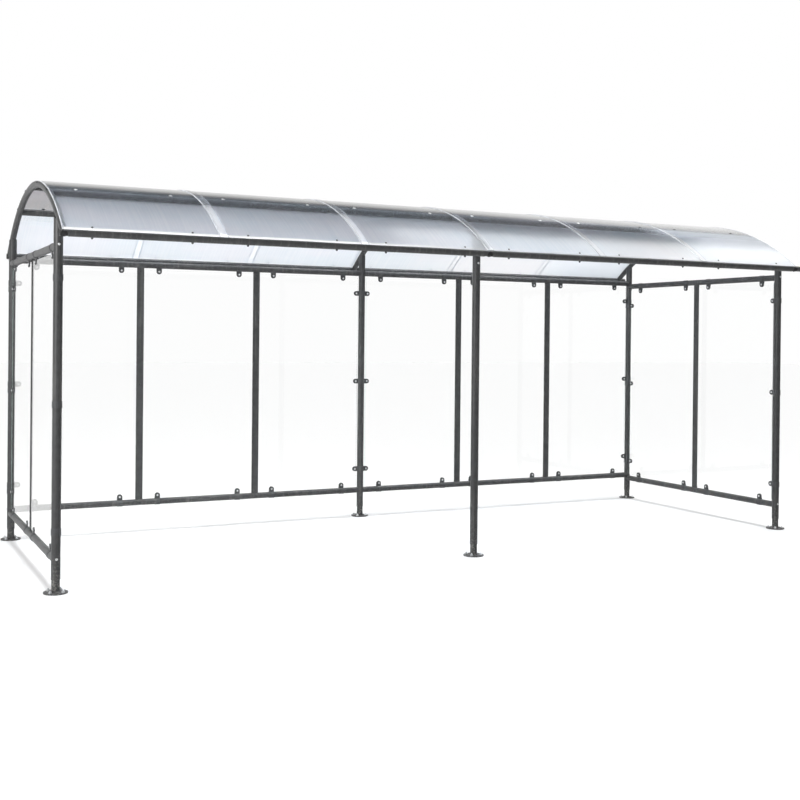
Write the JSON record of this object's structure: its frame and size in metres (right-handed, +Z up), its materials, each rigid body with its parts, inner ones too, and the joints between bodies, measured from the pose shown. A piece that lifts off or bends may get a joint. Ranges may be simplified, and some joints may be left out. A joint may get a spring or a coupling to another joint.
{
  "type": "bike shelter",
  "caption": "Long arched bike shelter: steel tube frame, translucent curved roof, clear glass rear and end walls, open front.",
  "frame": {"origin": "ground point under the middle of the shelter", "axes": "+X along the shelter to the right as seen from the open front, +Y from the front to the rear wall, +Z up"},
  "size_m": [6.15, 2.4338, 2.671],
  "materials": {
    "frame": "satin powder coat",
    "clip": "satin powder coat",
    "foot": "satin powder coat",
    "glass": "clear polished",
    "roof_sheet": "translucent, fine ribbed"
  },
  "bodies": {
    "root": {"clips_left": "clip", "clips_rear_posts": "clip", "clips_rear_rails": "clip", "clips_right": "clip", "eave_front": "frame", "eave_rear": "frame", "foot_front_left": "foot", "foot_front_middle": "foot", "foot_front_right": "foot", "foot_rear_left": "foot", "foot_rear_middle": "foot", "foot_rear_right": "foot", "glass_left": "glass", "glass_rear_left": "glass", "glass_rear_right": "glass", "glass_right": "glass", "post_front_left": "frame", "post_front_middle": "frame", "post_front_right": "frame", "post_rear_left": "frame", "post_rear_middle": "frame", "post_rear_right": "frame", "purlin_front": "frame", "purlin_rear": "frame", "rail_left_high": "frame", "rail_left_low": "frame", "rail_rear_high_left": "frame", "rail_rear_high_right": "frame", "rail_rear_low_left": "frame", "rail_rear_low_right": "frame", "rail_right_high": "frame", "rail_right_low": "frame", "rib_left": "frame", "rib_middle": "frame", "rib_right": "frame", "ridge": "frame", "roof_sheet_1": "roof_sheet", "roof_sheet_2": "roof_sheet", "roof_sheet_3": "roof_sheet", "roof_sheet_4": "roof_sheet", "roof_sheet_5": "roof_sheet", "roof_sheet_6": "roof_sheet", "strips_left": "frame", "strips_rear": "frame", "strips_right": "frame"}
  },
  "joints": []
}
